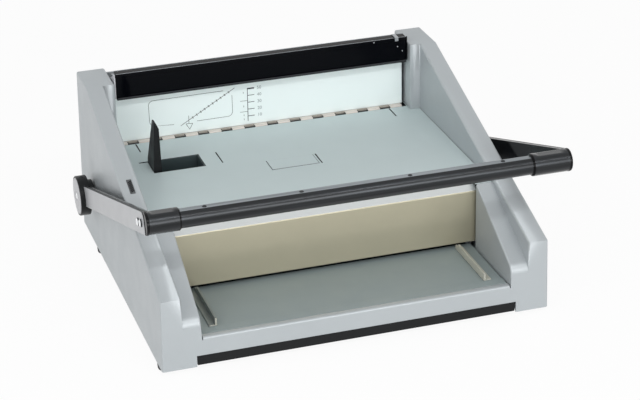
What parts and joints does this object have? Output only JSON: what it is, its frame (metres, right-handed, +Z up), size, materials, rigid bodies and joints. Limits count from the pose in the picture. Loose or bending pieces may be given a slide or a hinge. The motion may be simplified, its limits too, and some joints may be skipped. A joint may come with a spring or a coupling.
{
  "type": "strip binding machine",
  "caption": "Desktop strip binder: a manual punch with a wide pull-down handle in front, and a deck with a powered strip press behind it.",
  "frame": {"origin": "under the middle of the machine's whole outline, on the surface it stands on", "axes": "+Z up, +X to the user's right, -Y towards the user"},
  "size_m": [0.4756, 0.4242, 0.209],
  "materials": {
    "casing": "silver-grey moulded plastic with a fine satin texture",
    "deck": "grey plastic with a fine texture",
    "panel": "smooth white plastic",
    "rail": "cream plastic",
    "cover": "champagne silver lacquer with a satin sheen",
    "black": "fine-textured black plastic",
    "gloss": "polished black",
    "tray": "grey plastic",
    "guide": "pale plastic",
    "arm": "light grey paint",
    "bar": "dark metallic lacquer with a satin sheen",
    "cap": "light grey plastic",
    "sheet": "zinc-plated sheet steel",
    "steel": "ground tool steel",
    "bronze": "sintered bronze",
    "rubber": "matt black rubber",
    "board": "green solder mask",
    "iron": "dark painted iron"
  },
  "bodies": {
    "casing": {"main_casing": "casing", "base_plate": "sheet", "deck_plate": "deck", "badge_plate": "cap", "strip_slot_rail": "rail", "guide_pocket": "black", "panel_backing": "black", "back_panel": "panel", "rear_panel": "casing", "power_inlet": "black", "front_cover": "cover", "paper_tray": "tray", "die_plate": "steel", "punch_guide": "steel", "gearbox": "iron", "press_motor": "sheet", "transformer": "iron", "control_board": "board", "left_bottom_plate": "sheet", "front_left_foot": "rubber", "rear_left_foot": "rubber", "left_edge_guide": "guide", "left_side_plate": "sheet", "left_shaft_bush": "bronze", "right_bottom_plate": "sheet", "front_right_foot": "rubber", "rear_right_foot": "rubber", "right_edge_guide": "guide", "right_side_plate": "sheet", "right_shaft_bush": "bronze"},
    "handle": {"handle_shaft": "steel", "handle_bar": "bar", "left_hub": "black", "left_hub_cap": "cap", "left_arm": "arm", "left_arm_lining": "black", "left_grip": "black", "left_crank": "steel", "right_hub": "black", "right_hub_cap": "cap", "right_arm": "arm", "right_arm_lining": "black", "right_grip": "black", "right_crank": "steel"},
    "cam_plates": {"left_cam_plate": "sheet", "right_cam_plate": "sheet"},
    "ram": {"punch_ram": "steel", "punch_pin_row": "steel"},
    "press": {"press_head": "gloss", "left_head_arm": "cap", "right_head_arm": "cap", "left_rack": "steel", "right_rack": "steel"},
    "pinions": {"pinion_shaft": "steel", "left_pinion": "steel", "right_pinion": "steel"},
    "blade": {"guide_blade": "black"},
    "key": {"start_key": "black"},
    "rocker": {"switch_rocker": "black"},
    "chips": {"chip_tray": "black"}
  },
  "joints": [
    {"name": "handle_pull", "type": "hinge", "parent": "casing", "child": "handle", "pos_m": [0, 0.13634, 0.074], "axis": [1, 0, 0], "range_deg": [0, 20], "stiffness_Nm_per_rad": 14, "springref_deg": -34.38},
    {"name": "cam_slide", "type": "slide", "parent": "casing", "child": "cam_plates", "axis": [0, 1, 0], "range_m": [0, 0.0123]},
    {"name": "ram_slide", "type": "slide", "parent": "casing", "child": "ram", "axis": [0, 0, -1], "range_m": [0, 0.0123]},
    {"name": "press_slide", "type": "slide", "parent": "casing", "child": "press", "axis": [0, 0, -1], "range_m": [0, 0.056]},
    {"name": "pinion_turn", "type": "hinge", "parent": "casing", "child": "pinions", "pos_m": [0, 0.19699, 0.081], "axis": [1, 0, 0], "range_deg": [0, 401.2]},
    {"name": "blade_fold", "type": "hinge", "parent": "casing", "child": "blade", "pos_m": [-0.1617, 0.09334, 0.1141], "axis": [0, 1, 0], "range_deg": [0, 90]},
    {"name": "key_press", "type": "slide", "parent": "casing", "child": "key", "axis": [0, 0.3124, -0.9499], "range_m": [0, 0.0015], "stiffness_N_per_m": 400, "springref_m": -0.002},
    {"name": "switch_tilt", "type": "hinge", "parent": "casing", "child": "rocker", "pos_m": [-0.092, 0.20354, 0.038], "axis": [1, 0, 0], "range_deg": [0, 16]},
    {"name": "chip_tray_pull", "type": "slide", "parent": "casing", "child": "chips", "axis": [0, -1, 0], "range_m": [0, 0.13]}
  ],
  "couplings": [
    {"joint": "cam_slide", "follows": "handle_pull", "m_per_rad": 0.035},
    {"joint": "ram_slide", "follows": "handle_pull", "m_per_rad": 0.035},
    {"joint": "pinion_turn", "follows": "press_slide", "rad_per_m": 125}
  ]
}
